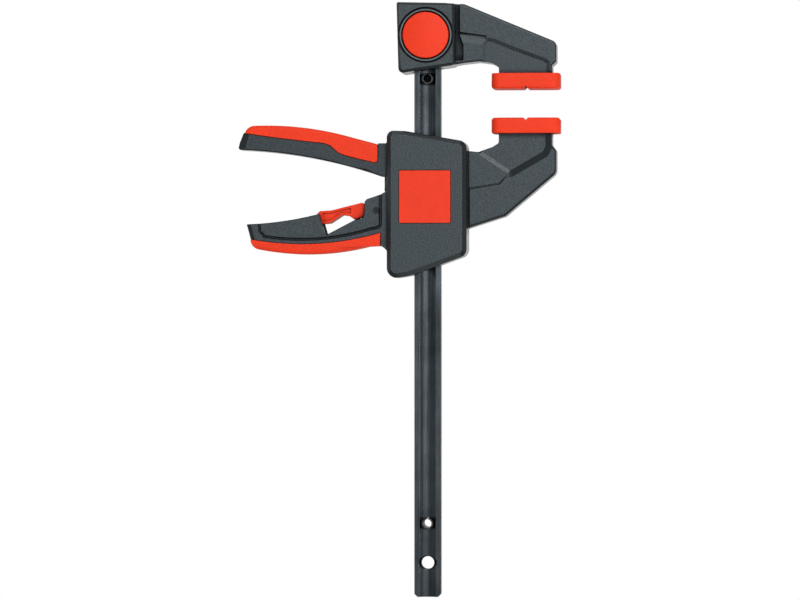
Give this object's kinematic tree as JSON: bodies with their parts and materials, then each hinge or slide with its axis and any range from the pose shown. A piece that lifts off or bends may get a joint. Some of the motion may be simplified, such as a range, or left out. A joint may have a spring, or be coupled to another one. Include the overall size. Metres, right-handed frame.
{
  "type": "quick release bar clamp",
  "caption": "One-handed trigger bar clamp: flat rail with a locking fixed jaw, and a sliding jaw with squeeze trigger, release lever and soft pads.",
  "frame": {"origin": "centre of the hang hole near the bar's free end, in the middle of the bar's thickness", "axes": "+Z along the bar towards the fixed jaw, +X from the bar towards the jaw tips, -Y out of the front face"},
  "size_m": [0.1803, 0.0296, 0.332],
  "materials": {
    "body_plastic": "glass-filled nylon moulding, dark grey, fine matte grain",
    "trigger_plastic": "glass-filled nylon moulding, near-black grey, fine matte grain",
    "soft_red": "soft thermoplastic elastomer, warm red, satin with fine grain",
    "hard_red": "moulded plastic, warm red, satin",
    "badge_red": "thin moulded badge, warm red, satin, bare",
    "bar_steel": "cold-drawn carbon steel bar, dark oxide finish, oiled",
    "pin_steel": "plain hardened steel pins",
    "plate_steel": "blanked spring steel plates, oiled",
    "spring_steel": "spring wire",
    "screw_steel": "black oxide steel screws",
    "ring_grey": "pale grey moulded ring, satin",
    "slide_plastic": "acetal wear shoes, smooth",
    "lock_plastic": "acetal carrier, smooth"
  },
  "bodies": {
    "rail": {"bar": "bar_steel", "upper_stop_pin": "pin_steel", "lower_stop_pin": "pin_steel", "fixed_jaw": "body_plastic", "fixed_jaw_pad": "soft_red", "fixed_jaw_back_plate": "body_plastic", "fixed_jaw_screws": "screw_steel", "button_ring": "ring_grey", "button_spring": "spring_steel"},
    "lock": {"lock_button": "hard_red", "lock_yoke": "lock_plastic", "lock_pin": "pin_steel"},
    "carriage": {"sliding_jaw": "body_plastic", "front_cover": "body_plastic", "rear_cover": "body_plastic", "front_badge": "badge_red", "cover_screws": "screw_steel", "sliding_jaw_pad": "soft_red", "lower_grip": "soft_red", "upper_guide": "slide_plastic", "lower_guide": "slide_plastic", "trigger_pin": "pin_steel", "release_pin": "pin_steel", "brake_fulcrum": "pin_steel", "drive_spring": "spring_steel", "brake_spring": "spring_steel"},
    "trigger": {"trigger_lever": "trigger_plastic", "trigger_grip": "soft_red", "trigger_bush": "pin_steel"},
    "release": {"release_lever": "hard_red", "release_bush": "pin_steel"},
    "drive_plates": {"drive_plate_1": "plate_steel", "drive_plate_2": "plate_steel"},
    "brake_plates": {"brake_plate_1": "plate_steel", "brake_plate_2": "plate_steel"}
  },
  "joints": [
    {"name": "jaw_slide", "type": "slide", "parent": "rail", "child": "carriage", "axis": [0, 0, 1], "range_m": [-0.1365, 0.0158]},
    {"name": "trigger_pivot", "type": "hinge", "parent": "carriage", "child": "trigger", "pos_m": [-0.0135, 0, 0.2308], "axis": [0, -1, 0], "range_deg": [0, 22], "stiffness_Nm_per_rad": 0.5, "springref_deg": -17.19},
    {"name": "drive_plate_shift", "type": "slide", "parent": "carriage", "child": "drive_plates", "axis": [0, 0, -1], "range_m": [0, 0.002], "deforming": ["drive_spring"]},
    {"name": "release_pivot", "type": "hinge", "parent": "carriage", "child": "release", "pos_m": [-0.0284, 0, 0.1968], "axis": [0, -1, 0], "range_deg": [0, 9], "stiffness_Nm_per_rad": 0.4, "springref_deg": -11.46},
    {"name": "brake_plate_tilt", "type": "hinge", "parent": "carriage", "child": "brake_plates", "pos_m": [0.017, 0, 0.1885], "axis": [0, -1, 0], "range_deg": [0, 2], "deforming": ["brake_spring"]},
    {"name": "lock_button_press", "type": "slide", "parent": "rail", "child": "lock", "axis": [0, 1, 0], "range_m": [0, 0.0038], "stiffness_N_per_m": 800, "springref_m": -0.004, "deforming": ["button_spring"]}
  ],
  "couplings": [
    {"joint": "drive_plate_shift", "follows": "trigger_pivot", "m_per_rad": 0.005},
    {"joint": "brake_plate_tilt", "follows": "release_pivot", "ratio": 0.211}
  ]
}
